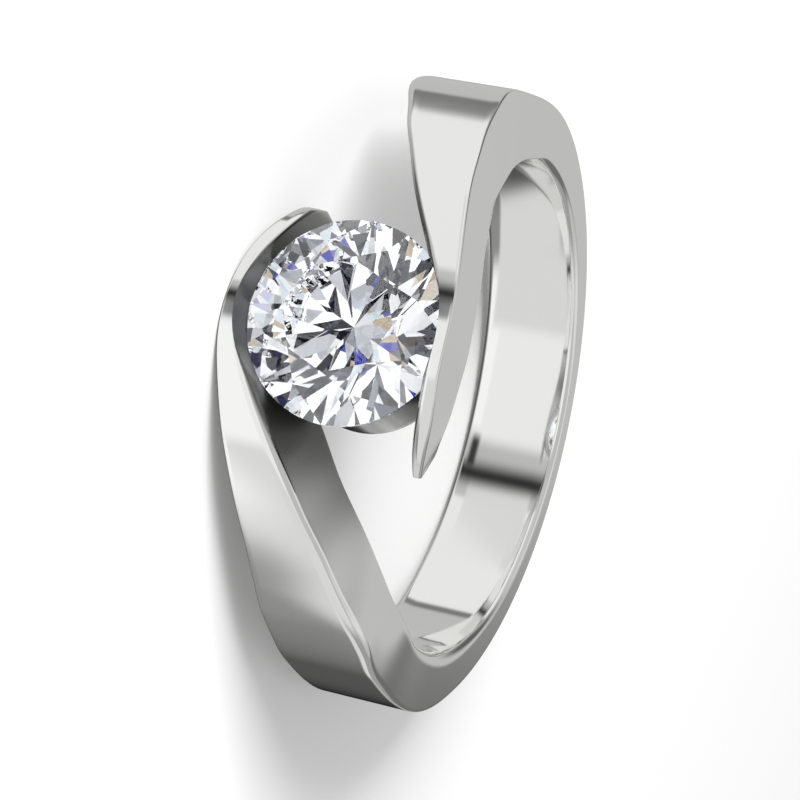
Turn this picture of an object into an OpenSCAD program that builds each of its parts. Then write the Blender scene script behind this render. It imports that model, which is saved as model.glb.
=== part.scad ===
// Bypass ring with a round brilliant stone held between two crossing arms.
// Millimetres. The ring lies on its side as it rests, +Z up, stone towards -Y.
// Origin: the middle of the bounding box, on the surface that it lies on.

/* [Ring size] */
// inner radius of the finger hole, a size 55 ring
bore_r = 8.75; // [8:0.05:9.5]

/* [Stone] */
// diameter at the girdle, a one carat round
stone_d = 6.5; // [6:0.1:6.6]
// table width across its corners, as a share of the diameter
table_share = 0.56; // [0.5:0.01:0.62]
// crown angle in degrees
crown_angle = 34.5; // [30:0.5:36]
// pavilion angle in degrees
pavilion_angle = 40.5; // [39:0.5:42]
// thickness of the girdle
girdle_t = 0.18; // [0.1:0.02:0.3]
// distance from the ring axis to the underside of the girdle
girdle_n = 11.58; // [11.5:0.01:11.8]
// turn of the facets about the stone's own axis
stone_turn = 0; // [0:1:44]

/* [Seat] */
// outer radius of the cup under the stone
cup_r = 2.85; // [2.6:0.05:3]
// radius of the open hole through the cup
cup_hole_r = 2.0; // [1.5:0.05:2.2]
// free gap between stone and metal
stone_gap = 0.03; // [0.02:0.01:0.05]

/* [Rest] */
// turn about X that lays the ring on its flank
rest_pitch = -4.5; // [-8:0.1:0]
// turn about Y that lays the ring on its flank
rest_roll = 0.6; // [-5:0.1:5]

/* [Hidden] */
// One row for each section of the upper arm, from its free tip past the stone to the back of
// the band at 180 degrees. The lower arm is the same one turned half a turn about the stone
// axis, but for the handwork named below.
// outer and inner side are distances along the finger axis from the ring's middle plane, at
// the top of the section and at the finger hole.
//    angle, top radius, outer top, outer foot, inner top, inner foot, inner edge rounding
sections = [
    [-22.5, 10.40, 2.85, 2.60, 2.55, 2.40, 0.10],
    [ -18, 11.10, 3.10, 2.75,  2.65,  2.45, 0.20],
    [ -12, 11.90, 3.40, 2.95,  2.85,  2.60, 0.20],
    [  -6, 12.60, 3.55, 3.05,  3.05,  2.70, 0.20],
    [   0, 12.95, 3.65, 3.10,  3.10,  2.70, 0.15],
    [   6, 13.00, 3.60, 3.05,  2.80,  2.40, 0.20],
    [  12, 12.90, 3.35, 2.95,  2.15,  1.95, 0.30],
    [  18, 12.80, 3.05, 2.80,  1.40,  1.35, 0.30],
    [  24, 12.60, 2.75, 2.60,  0.70,  0.85, 0.30],
    [  30, 12.35, 2.50, 2.40,  0.10,  0.40, 0.25],
    [  36, 12.15, 2.25, 2.20, -0.50, -0.10, 0.25],
    [  43, 12.00, 2.05, 2.00, -1.05, -0.60, 0.25],
    [  50, 11.90, 1.90, 1.90, -1.60, -0.95, 0.35],
    [  58, 11.45, 1.75, 1.75, -1.68, -1.30, 0.50],
    [  66, 11.05, 1.68, 1.68, -1.66, -1.66, 0.50],
    [  76, 10.82, 1.65, 1.65, -1.65, -1.65, 0.35],
    [  88, 10.72, 1.65, 1.65, -1.65, -1.65, 0.15],
    [ 110, 10.40, 1.70, 1.70, -1.70, -1.70, 0.15],
    [ 145,  9.95, 1.80, 1.80, -1.80, -1.80, 0.15],
    [ 180,  9.80, 1.85, 1.85, -1.85, -1.85, 0.15]
];
last = len(sections) - 1;
tip_angle = sections[0][0];
// angle between two rings of points along the sweep
sweep_step = 3.5;
sweep_count = ceil((180 - tip_angle) / sweep_step);
// how far below the finger hole the sweep starts, for the bore to cut it
dig = 0.4;
// moves the middle of the box over the origin, and its lowest point to Z = 0
to_side = -0.10;
to_middle = 1.66;
to_floor = 2.622;
// the tip's underside lifts off the hole from this angle outwards
tip_lift_angle = -14;
tip_lift = 0.75;
// the lower arm is finished by hand a little otherwise: its shoulder swells more, with a
// crisper inner edge, and its tip is filed rounder
shoulder_swell = 0.34;
shoulder_crisp = 0.5;
tip_file = 0.38;
tip_file_angle = -19;
overlap = 0.01;

// smooth curve through one column of the table
function rise(i, c) = (sections[i + 1][c] - sections[i][c]) / (sections[i + 1][0] - sections[i][0]);
function span(i) = sections[i + 1][0] - sections[i][0];
function slope(i, c) = i == 0 ? rise(0, c) : i == last ? 0
    : (rise(i - 1, c) * span(i) + rise(i, c) * span(i - 1)) / (span(i) + span(i - 1));
function row(a, i = 0) = i >= last - 1 || sections[i + 1][0] > a ? i : row(a, i + 1);
function column(a, c) = let (
        i = row(a),
        w = span(i),
        t = (a - sections[i][0]) / w
    ) sections[i][c] * (2 * t * t * t - 3 * t * t + 1) + slope(i, c) * w * (t * t * t - 2 * t * t + t)
    + sections[i + 1][c] * (3 * t * t - 2 * t * t * t) + slope(i + 1, c) * w * (t * t * t - t * t);
function step_between(a, low, high) = let (t = max(0, min(1, (a - low) / (high - low))))
    t * t * (3 - 2 * t);

// rounding of the hole's edges: none on the arms' outer side, most where the inner wall
// runs into the flank of the band
function outer_foot_round(a) = 0.04 + 0.21 * step_between(a, 74, 86);
function inner_foot_round(a) = 0.05 + 0.39 * step_between(a, 50, 66) - 0.19 * step_between(a, 96, 125);
function outer_edge_round(a) = 0.08 + 0.07 * step_between(a, 60, 110);

function low_radius(a) = bore_r - dig
    + tip_lift * pow(max(0, (tip_lift_angle - a) / (tip_lift_angle - tip_angle)), 2);
// what the lower arm's top radius has beyond the table, and the share of its inner edge rounding
function lower_swell(a) = shoulder_swell * step_between(a, 50, 63) * (1 - step_between(a, 66, 110))
    - tip_file * pow(max(0, (tip_file_angle - a) / (tip_file_angle - tip_angle)), 1.5);
function lower_crisp(a) = 1 - shoulder_crisp * step_between(a, 45, 58);
// share of the way from foot to top, for a point of the side wall
function on_wall(foot, top, r, r_foot, r_top) = foot + (top - foot) * (r - r_foot) / (r_top - r_foot);
// the 14 corners of one section as [place along the finger axis, radius]
function section(a, side) = let (
        top = column(a, 1) + (side < 0 ? lower_swell(a) : 0),
        ot = column(a, 2),
        of = column(a, 3),
        it = column(a, 4),
        inf = column(a, 5),
        si = column(a, 6) * (side < 0 ? lower_crisp(a) : 1),
        so = outer_edge_round(a),
        ri = inner_foot_round(a),
        ro = outer_foot_round(a),
        r0 = low_radius(a),
        k = 1 - sqrt(0.5),
        rb = max(bore_r, r0 + k * ri + overlap)
    ) [
        [inf + (2 - k) * ri, r0],
        [inf + (2 - k) * ri, rb - k * ri],
        [inf + k * ri, rb + k * ri],
        [on_wall(inf, it, rb + ri, rb, top), rb + ri],
        [on_wall(inf, it, top - si, rb, top), top - si],
        [it + k * si, top - k * si],
        [it + si, top],
        [ot - so, top],
        [ot - k * so, top - k * so],
        [on_wall(of, ot, top - so, rb, top), top - so],
        [on_wall(of, ot, rb + ro, rb, top), rb + ro],
        [of - k * ro, rb + k * ro],
        [of - (2 - k) * ro, rb - k * ro],
        [of - (2 - k) * ro, r0]
    ];
corners = 14;
// the corner at which the outer surface of the section starts
outer_side = 6;
function sweep_angle(i) = tip_angle + (180 - tip_angle) * i / sweep_count;
// one ring of points, of the upper arm for side 1 and of the lower arm for side -1
function ring_points(i, side) = let (a = sweep_angle(i), s = section(a, side)) [
        for (j = [0 : corners - 1]) let (p = side > 0 ? s[j] : s[corners - 1 - j])
            [-side * p[1] * sin(a), -p[1] * cos(a), side * p[0]]
    ];
rings = concat(
    [for (i = [0 : sweep_count]) ring_points(i, 1)],
    [for (i = [sweep_count - 1 : -1 : 0]) ring_points(i, -1)]
);
ring_total = len(rings);

// parts of the stone, as distances from the ring axis
girdle_top = girdle_n + girdle_t;
stone_r = stone_d / 2;
table_r = table_share * stone_r;
crown_h = (stone_r - table_r) * tan(crown_angle);
table_n = girdle_top + crown_h;
culet_n = girdle_n - stone_r * tan(pavilion_angle);
// the star facets reach half way from table edge to girdle, the lower halves 77 percent down
star_r = (table_r * cos(22.5) + stone_r) / 2;
star_n = girdle_top + (stone_r - star_r * cos(22.5)) * tan(crown_angle);
lower_r = 0.23 * stone_r;
lower_n = girdle_n - (stone_r - lower_r * cos(22.5)) * tan(pavilion_angle);

// the two arms and the band in one sweep, before the finger hole is bored
module sweep() {
    polyhedron(
        points = [for (r = rings) for (p = r) p],
        // the sides from the back of the band onwards, then the two free ends
        faces = concat(
            [for (n = [0 : ring_total - 2]) for (m = [0 : corners - 1])
                let (
                    i = (n + sweep_count) % (ring_total - 1),
                    j = (m + outer_side) % corners,
                    k = (j + 1) % corners
                ) each [
                    [i * corners + j, (i + 1) * corners + j, (i + 1) * corners + k],
                    [i * corners + j, (i + 1) * corners + k, i * corners + k]
                ]],
            [[for (j = [0 : corners - 1]) j]],
            [[for (j = [corners - 1 : -1 : 0]) (ring_total - 1) * corners + j]]
        )
    );
}

// turns a shape drawn about Z so that Z points out through the stone
module outwards() {
    rotate([90, 0, 0]) children();
}

// the stone's own outline turned round its axis, wider by the gap, and open upwards
module stone_room() {
    lower = stone_gap / cos(pavilion_angle);
    outwards() rotate_extrude($fn = 96) polygon([
        [0, culet_n - lower],
        [stone_r, girdle_n - lower],
        [stone_r + stone_gap, girdle_n - lower],
        [stone_r + stone_gap, 14],
        [0, 14]
    ]);
}

module finger_hole() {
    cylinder(r = bore_r, h = 16, center = true, $fn = 180);
}

// a cup under the stone, its foot cut to the finger hole
module cup() {
    difference() {
        outwards() rotate([0, 0, 17]) translate([0, 0, 7]) cylinder(r = cup_r, h = girdle_n - 7, $fn = 96);
        finger_hole();
    }
}

// cast and soldered in one: band, arms and the cup that carries the stone
module ring_metal() {
    difference() {
        union() {
            difference() {
                sweep();
                finger_hole();
            }
            cup();
        }
        stone_room();
        outwards() translate([0, 0, 6]) cylinder(r = cup_hole_r, h = 5, $fn = 96);
    }
}

module brilliant() {
    outwards() rotate([0, 0, stone_turn]) hull() {
        for (k = [0 : 7]) {
            rotate([0, 0, 45 * k]) polyhedron(
                points = [
                    [table_r, 0, table_n],
                    [star_r * cos(22.5), star_r * sin(22.5), star_n],
                    [stone_r, 0, girdle_top],
                    [stone_r * cos(22.5), stone_r * sin(22.5), girdle_top],
                    [stone_r, 0, girdle_n],
                    [stone_r * cos(22.5), stone_r * sin(22.5), girdle_n],
                    [lower_r * cos(22.5), lower_r * sin(22.5), lower_n],
                    [0, 0, culet_n]
                ],
                faces = [[0, 1, 2], [1, 3, 2], [2, 3, 5], [2, 5, 4], [4, 5, 6], [4, 6, 7], [0, 2, 4], [0, 4, 7],
                    [0, 7, 6], [0, 6, 1], [1, 6, 5], [1, 5, 3]]
            );
        }
    }
}

// lays the ring on its flank and puts the origin under the middle of its box
module at_rest() {
    translate([to_side, to_middle, to_floor]) rotate([rest_pitch, rest_roll, 0]) children();
}

module ring_body() {
    color([0.8, 0.8, 0.78]) at_rest() ring_metal();
}

module stone() {
    color([0.85, 0.9, 1]) at_rest() brilliant();
}

ring_body();
stone();
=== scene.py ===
import bmesh
import bpy
import numpy as np
from mathutils import Matrix, Vector


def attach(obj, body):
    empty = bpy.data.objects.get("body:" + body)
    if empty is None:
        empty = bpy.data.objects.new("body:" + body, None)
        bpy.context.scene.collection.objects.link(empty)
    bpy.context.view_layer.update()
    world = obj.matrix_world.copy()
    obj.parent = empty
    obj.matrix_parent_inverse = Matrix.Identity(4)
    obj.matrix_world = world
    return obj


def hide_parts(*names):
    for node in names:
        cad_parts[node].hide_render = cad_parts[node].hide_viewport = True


# A bypass ring of polished white metal. Two arms leave the band, pass each other on either side
# of a round brilliant stone and hold it between them. The ring lies on its flank, stone towards -Y.
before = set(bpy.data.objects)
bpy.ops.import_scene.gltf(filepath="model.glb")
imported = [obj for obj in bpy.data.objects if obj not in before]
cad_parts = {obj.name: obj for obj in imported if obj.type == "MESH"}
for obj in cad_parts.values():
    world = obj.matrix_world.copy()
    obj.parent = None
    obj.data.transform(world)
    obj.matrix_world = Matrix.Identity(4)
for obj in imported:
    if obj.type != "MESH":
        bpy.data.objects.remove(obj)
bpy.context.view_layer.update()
MM = 0.001

# The camera looks at the stone from a little to the right of straight on and from above the
# surface that the ring lies on. It is turned on its side, as the ring is seen upright.
camera_place = (12.144, -78.035, 35.390)
camera_aim = (0.605, -0.783, 1.863)
camera_roll = 100.23
camera_lens = 111.7

camera = bpy.data.objects.new("camera", bpy.data.cameras.new("camera"))
bpy.context.collection.objects.link(camera)
camera.data.lens = camera_lens
camera.data.sensor_width = 36
camera.data.clip_start = 0.01
camera.data.clip_end = 10
look = Vector(camera_aim) - Vector(camera_place)
upright = look.to_track_quat("-Z", "Y").to_matrix().to_4x4()
camera.matrix_world = (
    Matrix.Translation(Vector(camera_place) * MM) @ upright @ Matrix.Rotation(np.radians(camera_roll), 4, "Z")
)
bpy.context.scene.camera = camera


# The metal of the ring: band and both arms in one casting of silver, filed, rounded at its edges
# and polished, then plated white. One arm is swept from its free tip past the stone to the back of
# the band, and the other is the same arm turned half a turn about the stone's axis.
bore_radius = 8.75
# Each row is one section: angle from the stone, top radius, outer side at the top and at the foot,
# inner side at the top and at the foot (distances from the ring's middle plane), rounding of the
# inner edge. Millimetres and degrees.
arm_sections = np.array([
    [-22.5, 10.40, 2.85, 2.60, 2.55, 2.40, 0.10],
    [-18, 11.10, 3.10, 2.75, 2.65, 2.45, 0.20],
    [-12, 11.90, 3.40, 2.95, 2.85, 2.60, 0.20],
    [-6, 12.60, 3.55, 3.05, 3.05, 2.70, 0.20],
    [0, 12.95, 3.65, 3.10, 3.10, 2.70, 0.15],
    [6, 13.00, 3.60, 3.05, 2.80, 2.40, 0.20],
    [12, 12.90, 3.35, 2.95, 2.15, 1.95, 0.30],
    [18, 12.80, 3.05, 2.80, 1.40, 1.35, 0.30],
    [24, 12.60, 2.75, 2.60, 0.70, 0.85, 0.30],
    [30, 12.35, 2.50, 2.40, 0.10, 0.40, 0.25],
    [36, 12.15, 2.25, 2.20, -0.50, -0.10, 0.25],
    [43, 12.00, 2.05, 2.00, -1.05, -0.60, 0.25],
    [50, 11.90, 1.90, 1.90, -1.60, -0.95, 0.35],
    [58, 11.45, 1.75, 1.75, -1.68, -1.30, 0.50],
    [66, 11.05, 1.68, 1.68, -1.66, -1.66, 0.50],
    [76, 10.82, 1.65, 1.65, -1.65, -1.65, 0.35],
    [88, 10.72, 1.65, 1.65, -1.65, -1.65, 0.15],
    [110, 10.40, 1.70, 1.70, -1.70, -1.70, 0.15],
    [145, 9.95, 1.80, 1.80, -1.80, -1.80, 0.15],
    [180, 9.80, 1.85, 1.85, -1.85, -1.85, 0.15],
])
tip_angle = arm_sections[0, 0]
sweep_step = 1.0
# how the ring lies: the middle of its hole above the floor, and the turns about X and Y
hole_middle = (-0.10, 1.66, 2.622)
rest_pitch = -4.5
rest_roll = 0.6
lying = (
    Matrix.Translation(Vector(hole_middle))
    @ Matrix.Rotation(np.radians(rest_roll), 4, "Y")
    @ Matrix.Rotation(np.radians(rest_pitch), 4, "X")
)

# the stone's place in the metal, a little wider than the stone: round at the girdle and outwards
# of it, and a cone from the girdle's underside inwards
stone_radius = 3.25
girdle_under = 11.58
pavilion_angle = np.radians(40.5)
pavilion_slope = np.tan(pavilion_angle)
seat_gap = 0.03


def smooth_through(values, at):
    """A curve with no kinks through one column of the table, level at the back of the band."""
    knots = arm_sections[:, 0]
    gap = np.diff(knots)
    rise = np.diff(values) / gap
    count = len(knots)
    system = np.eye(count)
    turn = np.zeros(count)
    for i in range(1, count - 1):
        system[i, i - 1:i + 2] = gap[i - 1], 2 * (gap[i - 1] + gap[i]), gap[i]
        turn[i] = 6 * (rise[i] - rise[i - 1])
    system[-1, -2:] = gap[-1], 2 * gap[-1]
    turn[-1] = -6 * rise[-1]
    bend = np.linalg.solve(system, turn)
    i = np.clip(np.searchsorted(knots, at, side="right") - 1, 0, count - 2)
    left = at - knots[i]
    right = knots[i + 1] - at
    return (
        (bend[i] * right ** 3 + bend[i + 1] * left ** 3) / (6 * gap[i])
        + (values[i] / gap[i] - bend[i] * gap[i] / 6) * right
        + (values[i + 1] / gap[i] - bend[i + 1] * gap[i] / 6) * left
    )


def ease(value, low, high):
    """None up to low, one from high on, and smooth between."""
    share = np.clip((value - low) / (high - low), 0, 1)
    return share * share * (3 - 2 * share)


def room_for_stone(across, out):
    """Half the width of the stone's place, at a height across the arm and a distance out."""
    no_stone = -20
    below = girdle_under - seat_gap / np.cos(pavilion_angle)
    radius = np.where(out > below, stone_radius + seat_gap, stone_radius - (below - out) / pavilion_slope)
    inside = radius ** 2 - across ** 2
    return np.where((radius > 0) & (inside > 0), np.sqrt(np.maximum(inside, 0)), no_stone)


def rounded(corners, radii, arc_steps=6):
    """The corners of a section with a true arc in the place of each."""
    most_of_side = 0.45
    arcs = []
    count = len(corners)
    for i in range(count):
        before = corners[i - 1] - corners[i]
        after = corners[(i + 1) % count] - corners[i]
        reach_before = np.linalg.norm(before)
        reach_after = np.linalg.norm(after)
        before = before / reach_before
        after = after / reach_after
        half = np.arccos(np.clip(before @ after, -1, 1)) / 2
        cut = min(radii[i] / np.tan(half), most_of_side * reach_before, most_of_side * reach_after)
        radius = cut * np.tan(half)
        middle = before + after
        centre = corners[i] + middle / np.linalg.norm(middle) * radius / np.sin(half)
        start = corners[i] + before * cut - centre
        sweep = np.pi - 2 * half
        side = np.sign(start[1] * before[0] - start[0] * before[1])
        steps = np.linspace(0, sweep, arc_steps + 1) * side
        arcs.append(np.array([
            centre + (
                start[0] * np.cos(t) - start[1] * np.sin(t),
                start[0] * np.sin(t) + start[1] * np.cos(t),
            )
            for t in steps
        ]))
    return arcs


def between(start, end, count):
    """Points set evenly between two others, which are left out."""
    shares = np.arange(1, count + 1)[:, None] / (count + 1)
    return start + (end - start) * shares


wall_points = 20
top_points = 14
hole_points = 3
back_angle = arm_sections[-1, 0]
angles = np.linspace(tip_angle, back_angle, int(round((back_angle - tip_angle) / sweep_step)) + 1)
columns = [smooth_through(column, angles) for column in arm_sections.T[1:]]


def towards_tip(start):
    """None up to an angle near the free end of an arm, and one at the end."""
    return np.clip((start - angles) / (start - tip_angle), 0, 1)


# The tip's underside rises towards the free end, and leaves the finger hole's wall once it has
# risen by more than foot_inside.
lift_start = -14
lift_height = 0.75
foot_inside = 0.4
tip_lift = lift_height * towards_tip(lift_start) ** 2
foot_radius = np.maximum(bore_radius, bore_radius - foot_inside + tip_lift)

# The lower arm is finished by hand a little otherwise: its shoulder swells more, with a crisper
# inner edge as far as the side of the band, and its tip is filed rounder. Each pair of angles is
# where a change begins and where it is complete.
shoulder_swell = 0.34
swell_comes = (50, 63)
swell_goes = (66, 110)
edge_crispness = 0.65
crispness_comes = (45, 58)
crispness_goes = (88, 110)
tip_file = 0.38
tip_file_start = -19
tip_file_bend = 1.5
lower_swell = shoulder_swell * ease(angles, *swell_comes) * (1 - ease(angles, *swell_goes))
lower_swell = lower_swell - tip_file * towards_tip(tip_file_start) ** tip_file_bend
lower_crisp = 1 - edge_crispness * ease(angles, *crispness_comes) * (1 - ease(angles, *crispness_goes))

# Rounding of the other edges on the arms, and what the band adds to it. The inner foot is softest
# where the arm's inner wall runs into the flank of the band, and loses some of that behind it.
outer_foot_on_arm = 0.04
outer_foot_added = 0.21
outer_foot_softens = (74, 86)
inner_foot_on_arm = 0.05
inner_foot_added = 0.39
inner_foot_softens = (50, 66)
inner_foot_lost = 0.19
inner_foot_sharpens = (96, 125)
outer_edge_on_arm = 0.08
outer_edge_added = 0.07
outer_edge_softens = (60, 110)
outer_foot_round = outer_foot_on_arm + outer_foot_added * ease(angles, *outer_foot_softens)
inner_foot_round = inner_foot_on_arm + inner_foot_added * ease(angles, *inner_foot_softens)
inner_foot_round = inner_foot_round - inner_foot_lost * ease(angles, *inner_foot_sharpens)
outer_edge_round = outer_edge_on_arm + outer_edge_added * ease(angles, *outer_edge_softens)


def section(i, swell=0, crisp=1):
    """Points round one section, as distance from the middle plane and radius."""
    top, outer_top, outer_foot, inner_top, inner_foot, inner_edge_round = (column[i] for column in columns)
    top = top + swell
    inner_edge_round = inner_edge_round * crisp
    foot = foot_radius[i]
    corners = [
        np.array([inner_foot, foot]),
        np.array([inner_top, top]),
        np.array([outer_top, top]),
        np.array([outer_foot, foot]),
    ]
    radii = (inner_foot_round[i], inner_edge_round, outer_edge_round[i], outer_foot_round[i])
    inner_low, inner_high, outer_high, outer_low = rounded(corners, radii)
    hole = between(outer_low[-1], inner_low[0], 2 * hole_points)
    points = np.vstack([
        hole[hole_points:],
        inner_low,
        between(inner_low[-1], inner_high[0], wall_points),
        inner_high,
        between(inner_high[-1], outer_high[0], top_points),
        outer_high,
        between(outer_high[-1], outer_low[0], wall_points),
        outer_low,
        hole[:hole_points],
    ])
    turn = np.radians(angles[i])
    room = room_for_stone(points[:, 1] * np.sin(turn), points[:, 1] * np.cos(turn))
    # each point keeps clear of the stone's place, with a soft turn where the wall meets it
    softness = 0.02
    points[:, 0] = (points[:, 0] + room + np.hypot(points[:, 0] - room, softness)) / 2
    return points


def placed(points, angle, side):
    """Section points in the ring's own axes, on the upper arm for side 1 and the lower for -1."""
    turn = np.radians(angle)
    return np.column_stack([
        -side * points[:, 1] * np.sin(turn), -points[:, 1] * np.cos(turn), side * points[:, 0],
    ])


def rounded_tip(points, side):
    """Rings that close the free end of an arm in a small bulge."""
    bulge_reach = 0.6
    bulge_turn = 80
    bulge_rings = 6
    centre = points.mean(0)
    rings = []
    for t in np.linspace(0, bulge_turn, bulge_rings + 1)[1:]:
        shrink = np.cos(np.radians(t))
        angle = tip_angle - bulge_reach * np.sin(np.radians(t))
        rings.append(placed(centre + (points - centre) * shrink, angle, side))
    return rings


upper_sections = [section(i) for i in range(len(angles))]
lower_sections = [section(i, lower_swell[i], lower_crisp[i])[::-1] for i in range(len(angles))]
upper = [placed(s, a, 1) for s, a in zip(upper_sections, angles)]
lower = [placed(s, a, -1) for s, a in zip(lower_sections, angles)]
rings = (
    rounded_tip(upper_sections[0], 1)[::-1] + upper + lower[-2::-1] + rounded_tip(lower_sections[0], -1)
)


def surface_of(name, rings, closed_round=False):
    """A mesh object through a row of rings of points, closed at both ends or joined in a circle."""
    mesh = bpy.data.meshes.new(name)
    shape = bmesh.new()
    rows = [[shape.verts.new(lying @ Vector(p) * MM) for p in ring] for ring in rings]
    count = len(rows[0])
    pairs = list(zip(rows, rows[1:])) + ([(rows[-1], rows[0])] if closed_round else [])
    for one, other in pairs:
        for j in range(count):
            k = (j + 1) % count
            shape.faces.new((one[j], other[j], other[k], one[k]))
    if not closed_round:
        shape.faces.new(rows[0])
        shape.faces.new(rows[-1][::-1])
    bmesh.ops.recalc_face_normals(shape, faces=shape.faces)
    for face in shape.faces:
        face.smooth = True
    shape.to_mesh(mesh)
    shape.free()
    made = bpy.data.objects.new(name, mesh)
    bpy.context.collection.objects.link(made)
    return made


ring_metal = surface_of("ring_metal", rings)


# The cup under the stone: a short piece of tube soldered in line with the stone's axis, its foot
# filed to the finger hole and its mouth turned to the cone that the stone sits in.
cup_radius = 2.85
cup_hole_radius = 2.0
cup_edge = 0.08
cup_steps = 144
cup_arc_steps = 5
# points on the hole's wall, the seat, the outer wall and the foot
cup_side_points = (4, 6, 8, 5)


def cup_ring(turn):
    """Points round the tube's wall at one turn about the stone's axis."""
    mouth = girdle_under - (stone_radius - cup_radius) * pavilion_slope - seat_gap
    throat = girdle_under - (stone_radius - cup_hole_radius) * pavilion_slope - seat_gap
    foot_outer = np.sqrt(bore_radius ** 2 - (cup_radius * np.cos(turn)) ** 2)
    foot_inner = np.sqrt(bore_radius ** 2 - (cup_hole_radius * np.cos(turn)) ** 2)
    corners = [
        np.array([cup_hole_radius, foot_inner]),
        np.array([cup_hole_radius, throat]),
        np.array([cup_radius, mouth]),
        np.array([cup_radius, foot_outer]),
    ]
    arcs = rounded(corners, (cup_edge, cup_edge, cup_edge / 2, cup_edge), cup_arc_steps)
    stretches = []
    for arc, next_arc, count in zip(arcs, arcs[1:] + arcs[:1], cup_side_points):
        stretches.append(arc)
        stretches.append(between(arc[-1], next_arc[0], count))
    points = np.vstack(stretches)
    return np.column_stack([points[:, 0] * np.cos(turn), -points[:, 1], points[:, 0] * np.sin(turn)])


cup_turns = np.linspace(0, 2 * np.pi, cup_steps, False)
cup = surface_of("cup", [cup_ring(t) for t in cup_turns], closed_round=True)
solder = ring_metal.modifiers.new("solder", "BOOLEAN")
solder.operation = "UNION"
solder.object = cup
solder.solver = "EXACT"
bpy.context.view_layer.objects.active = ring_metal
bpy.ops.object.modifier_apply(modifier=solder.name)
bpy.data.objects.remove(cup)
even = ring_metal.modifiers.new("even shading", "WEIGHTED_NORMAL")
even.weight = 50
even.keep_sharp = True


class Wire:
    """A value in a node tree: sums on it add Math nodes, and node() adds any other node."""

    def __init__(self, tree, socket=None):
        self.tree = tree
        self.socket = socket

    def node(self, kind, settings, values, out=0):
        """A new node: its settings come first, then the values or links of its sockets.

        The setting called stops fills a colour ramp with flat colours, each from its start on.
        """
        made = self.tree.nodes.new(kind)
        for name, value in settings.items():
            if name == "stops":
                made.color_ramp.interpolation = "CONSTANT"
                made.color_ramp.elements.remove(made.color_ramp.elements[1])
                made.color_ramp.elements[0].color = value[0][1]
                for start, colour in value[1:]:
                    made.color_ramp.elements.new(start).color = colour
            else:
                setattr(made, name, value)
        for name, value in values.items():
            if isinstance(value, Wire):
                self.tree.links.new(value.socket, made.inputs[name])
            else:
                made.inputs[name].default_value = value
        return Wire(self.tree, made.outputs[out])

    def __add__(self, other):
        return self.node("ShaderNodeMath", {"operation": "ADD"}, {0: self, 1: other})

    __radd__ = __add__

    def __sub__(self, other):
        return self.node("ShaderNodeMath", {"operation": "SUBTRACT"}, {0: self, 1: other})

    def __rsub__(self, other):
        return self.node("ShaderNodeMath", {"operation": "SUBTRACT"}, {0: other, 1: self})

    def __mul__(self, other):
        return self.node("ShaderNodeMath", {"operation": "MULTIPLY"}, {0: self, 1: other})

    __rmul__ = __mul__

    def __truediv__(self, other):
        return self.node("ShaderNodeMath", {"operation": "DIVIDE"}, {0: self, 1: other})

    def along(self, vector, axis):
        """How far a vector reaches along an axis."""
        return self.node(
            "ShaderNodeVectorMath", {"operation": "DOT_PRODUCT"}, {0: vector, 1: axis}, out="Value",
        )

    def falls(self, value, inner, outer):
        """One up to inner, none from outer on, and smooth between."""
        return self.node("ShaderNodeMapRange", {"interpolation_type": "SMOOTHSTEP"}, {
            "Value": value, "From Min": inner, "From Max": outer, "To Min": 1.0, "To Max": 0.0,
        }, out="Result")


def blank_material(name):
    """A new material with no nodes, and a wire to build on."""
    material = bpy.data.materials.new(name)
    material.use_nodes = True
    material.node_tree.nodes.clear()
    return material, Wire(material.node_tree)


def finish_with(wire, shader):
    """Gives a material its output, fed by one shader."""
    output = wire.tree.nodes.new("ShaderNodeOutputMaterial")
    wire.tree.links.new(shader.socket, output.inputs["Surface"])


# The wheel reaches every surface but the walls beside the stone and the outside of the cup, which
# stay satin, rougher than the rest. Their colour is also darkened towards a dark grey: painted shade,
# standing in for the shade and dark reflections between the stone and the arms, deepest by the stone.
# A wall is told by which way it faces: 1 is straight at the stone's axis, and -1 straight away from
# it. The satin and the painted shade lessen away from that axis, between a start and a reach, and
# along it, from where they are whole to where there are none, counted from the ring's middle.
bright_plate = (0.90, 0.90, 0.885, 1)
# painted shade: the dark grey that the walls beside the stone and the cup's outside are mixed towards
painted_shade_plate = (0.18, 0.18, 0.175, 1)
polished_roughness = 0.05
haze_roughness = 0.03
satin_roughness = 0.25
satin_and_shade_start = 3.2 * MM
satin_and_shade_reach = 8.0 * MM
satin_and_shade_facing = (0.25, 0.6)
cup_satin_and_shade = 0.5
cup_satin_and_shade_facing = (-0.8, -0.5)
cup_within = (cup_radius + 0.05) * MM
cup_outside = (cup_radius + 0.15) * MM
satin_and_shade_whole_to = -7 * MM
satin_and_shade_none_from = -4 * MM
never_zero = 1e-9

polish, wire = blank_material("plated_polish")
place = wire.node("ShaderNodeTexCoord", {}, {}, out="Object")
facing = wire.node("ShaderNodeNewGeometry", {}, {}, out="Normal")
from_middle = wire.node("ShaderNodeVectorMath", {"operation": "SUBTRACT"}, {
    0: place, 1: Vector(hole_middle) * MM,
})
from_axis_x = wire.along(from_middle, lying.col[0].xyz)
from_axis_z = wire.along(from_middle, lying.col[2].xyz)
from_axis = wire.node("ShaderNodeMath", {"operation": "SQRT"}, {
    0: from_axis_x * from_axis_x + from_axis_z * from_axis_z + never_zero,
})
towards_axis = 0 - (
    wire.along(facing, lying.col[0].xyz) * from_axis_x + wire.along(facing, lying.col[2].xyz) * from_axis_z
) / from_axis
on_cup = wire.falls(from_axis, cup_within, cup_outside)
facing_stone = 1 - wire.falls(towards_axis, *satin_and_shade_facing)
satin_and_shade = wire.falls(from_axis, satin_and_shade_start, satin_and_shade_reach) * facing_stone * (1 - on_cup)
satin_and_shade = satin_and_shade + cup_satin_and_shade * on_cup * wire.falls(towards_axis, *cup_satin_and_shade_facing)
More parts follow.
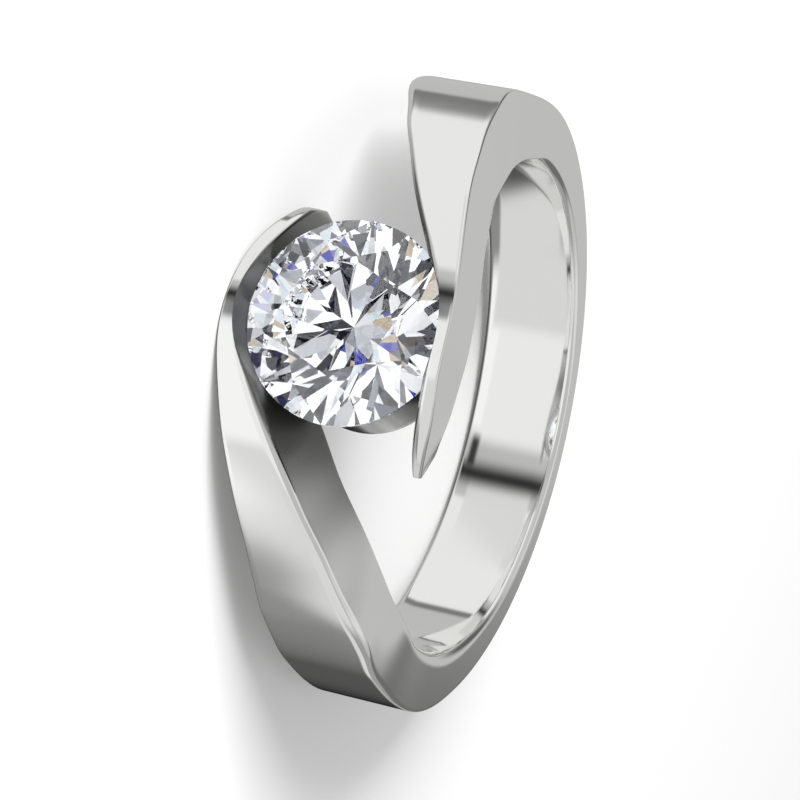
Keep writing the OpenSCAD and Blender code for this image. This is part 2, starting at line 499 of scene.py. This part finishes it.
beside_stone = wire.falls(wire.along(from_middle, lying.col[1].xyz), satin_and_shade_whole_to, satin_and_shade_none_from)
satin_and_shade = satin_and_shade * beside_stone
# painted shade: the plate's colour goes from the bright white towards the dark grey where the walls beside
# the stone and the cup are satin
plate_and_painted_shade = wire.node("ShaderNodeMix", {"data_type": "RGBA"}, {0: satin_and_shade, 6: bright_plate, 7: painted_shade_plate}, out=2)
haze = wire.node("ShaderNodeTexNoise", {}, {"Vector": place, "Scale": 900.0, "Detail": 3.0}, out="Fac")
metal = wire.node("ShaderNodeBsdfPrincipled", {}, {
    "Base Color": plate_and_painted_shade,
    "Metallic": 1.0,
    "Roughness": haze * haze_roughness + polished_roughness + satin_and_shade * satin_roughness,
})
finish_with(wire, metal)
ring_metal.data.materials.clear()
ring_metal.data.materials.append(polish)
ring_metal.visible_transmission = False
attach(ring_metal, "root")
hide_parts("ring_body")


# The stone: a round brilliant of cubic zirconia, ground from a short rod, one flat facet at a time,
# with a table, 8 stars, 8 crown mains, 16 upper and 16 lower halves and 8 pavilion mains.
girdle_height = 0.18
girdle_over = girdle_under + girdle_height
crown_angle = np.radians(34.5)
crown_slope = np.tan(crown_angle)
# the corners of the table, and where the lower halves end near the culet, as shares of the radius
table_share = 0.56
lower_share = 0.23
facets_round = 8
facet_turn = 360 / facets_round
half_turn = np.radians(facet_turn / 2)
table_radius = table_share * stone_radius
table_out = girdle_over + (stone_radius - table_radius) * crown_slope
culet_out = girdle_under - stone_radius * pavilion_slope
star_radius = (table_radius * np.cos(half_turn) + stone_radius) / 2
star_out = girdle_over + (stone_radius - star_radius * np.cos(half_turn)) * crown_slope
lower_radius = lower_share * stone_radius
lower_out = girdle_under - (stone_radius - lower_radius * np.cos(half_turn)) * pavilion_slope

rod_sides = 160
rod_length = 6
rod_middle = 11
rough = bmesh.new()
rod = bmesh.ops.create_cone(
    rough, cap_ends=True, segments=rod_sides, radius1=stone_radius, radius2=stone_radius, depth=rod_length,
)
bmesh.ops.translate(rough, verts=rod["verts"], vec=(0, 0, rod_middle))


def corner(radius, turn, out):
    """A point at a radius and a turn about the stone's axis, and a distance out along it."""
    return Vector((radius * np.cos(turn), radius * np.sin(turn), out))


def grind(one, two, three):
    """One flat facet through three points, with the waste side taken off."""
    on_plane = 1e-6
    normal = (two - one).cross(three - one).normalized()
    heart = Vector((0, 0, girdle_under))
    if normal.dot(one - heart) < 0:
        normal = -normal
    cut = bmesh.ops.bisect_plane(
        rough, geom=rough.verts[:] + rough.edges[:] + rough.faces[:], plane_co=one, plane_no=normal,
        clear_outer=True, dist=on_plane,
    )
    rim = [e for e in cut["geom_cut"] if isinstance(e, bmesh.types.BMEdge)]
    bmesh.ops.holes_fill(rough, edges=rim, sides=0)


on_table = [corner(table_radius, turn, table_out) for turn in (0, 1, 2)]
grind(*on_table)
for k in range(facets_round):
    turn = np.radians(facet_turn * k)
    girdle_top = corner(stone_radius, turn, girdle_over)
    girdle_foot = corner(stone_radius, turn, girdle_under)
    sideways = Vector((-np.sin(turn), np.cos(turn), 0))
    grind(girdle_top, girdle_top + sideways, corner(table_radius, turn, table_out))
    grind(girdle_foot, girdle_foot + sideways, corner(0, turn, culet_out))
    star = corner(star_radius, turn + half_turn, star_out)
    grind(corner(table_radius, turn, table_out), star, corner(table_radius, turn + 2 * half_turn, table_out))
    for side in (-1, 1):
        step = side * half_turn
        next_top = corner(stone_radius, turn + step, girdle_over)
        grind(girdle_top, next_top, corner(star_radius, turn + step, star_out))
        next_foot = corner(stone_radius, turn + step, girdle_under)
        grind(girdle_foot, next_foot, corner(lower_radius, turn + step, lower_out))

bmesh.ops.recalc_face_normals(rough, faces=rough.faces)
stand_up = Matrix.Rotation(np.radians(90), 4, "X")
bmesh.ops.transform(rough, matrix=Matrix.Scale(MM, 4) @ lying @ stand_up, verts=rough.verts)
stone_mesh = bpy.data.meshes.new("brilliant")
rough.to_mesh(stone_mesh)
rough.free()
brilliant = bpy.data.objects.new("brilliant", stone_mesh)
bpy.context.collection.objects.link(brilliant)

clear, wire = blank_material("cubic_zirconia")
place = wire.node("ShaderNodeTexCoord", {}, {}, out="Object")
cloud = wire.node("ShaderNodeTexNoise", {}, {"Vector": place, "Scale": 700.0, "Detail": 2.0}, out="Fac")
tint = wire.node("ShaderNodeMix", {"data_type": "RGBA"}, {
    0: cloud, 6: (1.0, 1.0, 1.0, 1), 7: (0.95, 0.965, 0.985, 1),
}, out=2)
gem = wire.node("ShaderNodeBsdfPrincipled", {}, {
    "Base Color": tint,
    "Roughness": 0.0,
    "IOR": 2.16,
    "Transmission Weight": 1.0,
})
finish_with(wire, gem)
brilliant.data.materials.append(clear)
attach(brilliant, "root")
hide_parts("stone")


# The floor: a wide sheet of plain white card.
floor_mesh = bpy.data.meshes.new("floor")
floor_size = 3.0
floor_mesh.from_pydata(
    [(-floor_size, -floor_size, 0), (floor_size, -floor_size, 0), (floor_size, floor_size, 0),
     (-floor_size, floor_size, 0)],
    [], [(0, 1, 2, 3)],
)
floor = bpy.data.objects.new("floor", floor_mesh)
bpy.context.collection.objects.link(floor)
card, wire = blank_material("white_card")
paper = wire.node("ShaderNodeBsdfPrincipled", {}, {"Base Color": (0.95, 0.95, 0.95, 1), "Roughness": 0.9})
finish_with(wire, paper)
floor.data.materials.append(card)
floor.visible_glossy = False
floor.visible_transmission = False

# The studio: a grey room with bright, grey and dark screens round the ring, and a few above and
# below it. Bearings are in degrees from +Y, clockwise from above, and heights in degrees above the
# horizon.
room = bpy.data.worlds.new("room")
bpy.context.scene.world = room
room.use_nodes = True
room.node_tree.nodes.clear()
wire = Wire(room.node_tree)
outwards = wire.node("ShaderNodeTexCoord", {}, {}, out="Generated")
height_of = wire.node("ShaderNodeMath", {"operation": "ARCSINE"}, {0: wire.along(outwards, (0, 0, 1))})


def screen(bearing, height, half_width, half_height, side_blur, end_blur):
    """The share of a screen in each direction looked in, one on it and none beside it."""
    ahead = wire.along(outwards, (np.sin(np.radians(bearing)), np.cos(np.radians(bearing)), 0))
    aside = wire.along(outwards, (np.cos(np.radians(bearing)), -np.sin(np.radians(bearing)), 0))
    turned = wire.node("ShaderNodeMath", {"operation": "ARCTAN2"}, {0: aside, 1: ahead})
    raised = height_of - np.radians(height)
    share = 1.0
    for offset, half, blur in ((turned, half_width, side_blur), (raised, half_height, end_blur)):
        size = wire.node("ShaderNodeMath", {"operation": "ABSOLUTE"}, {0: offset})
        share = share * wire.falls(size, np.radians(half - blur), np.radians(half + blur))
    return share


room_grey = 0.54
# each screen stands before those above it in the table
screens = (
    # bearing, height, half width, half height, blur at the sides, blur at the ends, brightness
    (140, -5, 46, 40, 7, 8, 1.0),
    (160, 5, 27, 20.5, 5, 0.7, 0.9),
    (85.5, 5, 47.5, 25.7, 5, 0.7, 0.74),
    (50, 8, 34, 24, 14, 1.5, 0.36),
    (-109, -10, 34, 38, 2, 8, 0.88),
    (-131, -10.8, 22, 2.8, 4, 0.8, 0.74),
    (20, 62, 75, 14, 10, 8, 0.75),
    (-110, 50, 40, 12, 10, 6, 0.60),
    (-155.7, -8, 5, 28, 4.8, 8, 0.03),
    (-166, -16.2, 7.5, 2.6, 3, 1.4, 0.04),
    (-73.2, -15, 2.3, 22, 1.5, 8, 0.2),
    (58, -46, 42, 25.3, 12, 0.7, 0.28),
    (20, -46, 34, 25.3, 24, 0.7, 0.09),
    (5, -46, 12, 25.3, 12, 0.7, 0.02),
    (0, -90, 200, 28, 1, 8, 0.12),
    (13, 15, 17, 15, 5, 6, 0.16),
    (-48, 22, 18, 18, 12, 10, 0.12),
)
brightness = room_grey
for bearing, height, half_width, half_height, side_blur, end_blur, level in screens:
    share = screen(bearing, height, half_width, half_height, side_blur, end_blur)
    brightness = brightness + share * (level - brightness)
# how bright the room is where it lights the card, and where the camera looks at it
flood = 0.62
backdrop = 1.08
lights_card = wire.node("ShaderNodeLightPath", {}, {}, out="Is Diffuse Ray")
brightness = brightness + lights_card * (flood - brightness)
seen = wire.node("ShaderNodeLightPath", {}, {}, out="Is Camera Ray")
brightness = brightness + seen * (backdrop - brightness)
# What the stone gathers: a patchwork of lamps, screens, dark corners and the colours that it
# splits out of them.
patches = wire.node("ShaderNodeTexVoronoi", {}, {"Vector": outwards, "Scale": 3.2}, out="Color")
fire = wire.node("ShaderNodeValToRGB", {"stops": (
    (0.0, (1.30, 1.30, 1.32, 1)),
    (0.36, (0.62, 0.64, 0.68, 1)),
    (0.48, (0.26, 0.28, 0.32, 1)),
    (0.60, (0.98, 0.99, 1.0, 1)),
    (0.74, (0.0, 0.0, 0.01, 1)),
    (0.85, (0.07, 0.07, 0.10, 1)),
    (0.91, (0.02, 0.03, 0.40, 1)),
    (0.93, (0.88, 0.85, 0.76, 1)),
    (0.945, (0.66, 0.66, 0.86, 1)),
    (0.965, (0.80, 0.88, 0.94, 1)),
    (0.99, (0.60, 0.50, 0.36, 1)),
)}, {"Fac": wire.along(patches, (1, 0, 0))}, out="Color")
through_stone = wire.node("ShaderNodeLightPath", {}, {}, out="Is Transmission Ray")
plain = (1, 1, 1, 1)
colour = wire.node("ShaderNodeMix", {"data_type": "RGBA"}, {0: through_stone, 6: plain, 7: fire}, out=2)
brightness = brightness + through_stone * (1 - brightness)
sky = wire.node("ShaderNodeBackground", {}, {"Color": colour, "Strength": brightness})
output = wire.tree.nodes.new("ShaderNodeOutputWorld")
wire.tree.links.new(sky.socket, output.inputs["Surface"])
bpy.context.scene.view_settings.view_transform = "Standard"
# light goes to and fro many times between the facets before it leaves the stone
light_steps = 32
bpy.context.scene.cycles.max_bounces = light_steps
bpy.context.scene.cycles.transmission_bounces = light_steps
bpy.context.scene.cycles.glossy_bounces = light_steps

# A broad lamp before the stone and to its left, which lays the ring's soft shadow on the card.
lamp_place = Vector((-250, -270, 190)) * MM
lamp = bpy.data.objects.new("lamp", bpy.data.lights.new("lamp", "AREA"))
bpy.context.collection.objects.link(lamp)
lamp.data.size = 0.2
lamp.data.energy = 2.3
lamp.location = lamp_place
lamp.rotation_euler = lamp_place.to_track_quat("Z", "Y").to_euler()
lamp.visible_glossy = False
lamp.visible_transmission = False
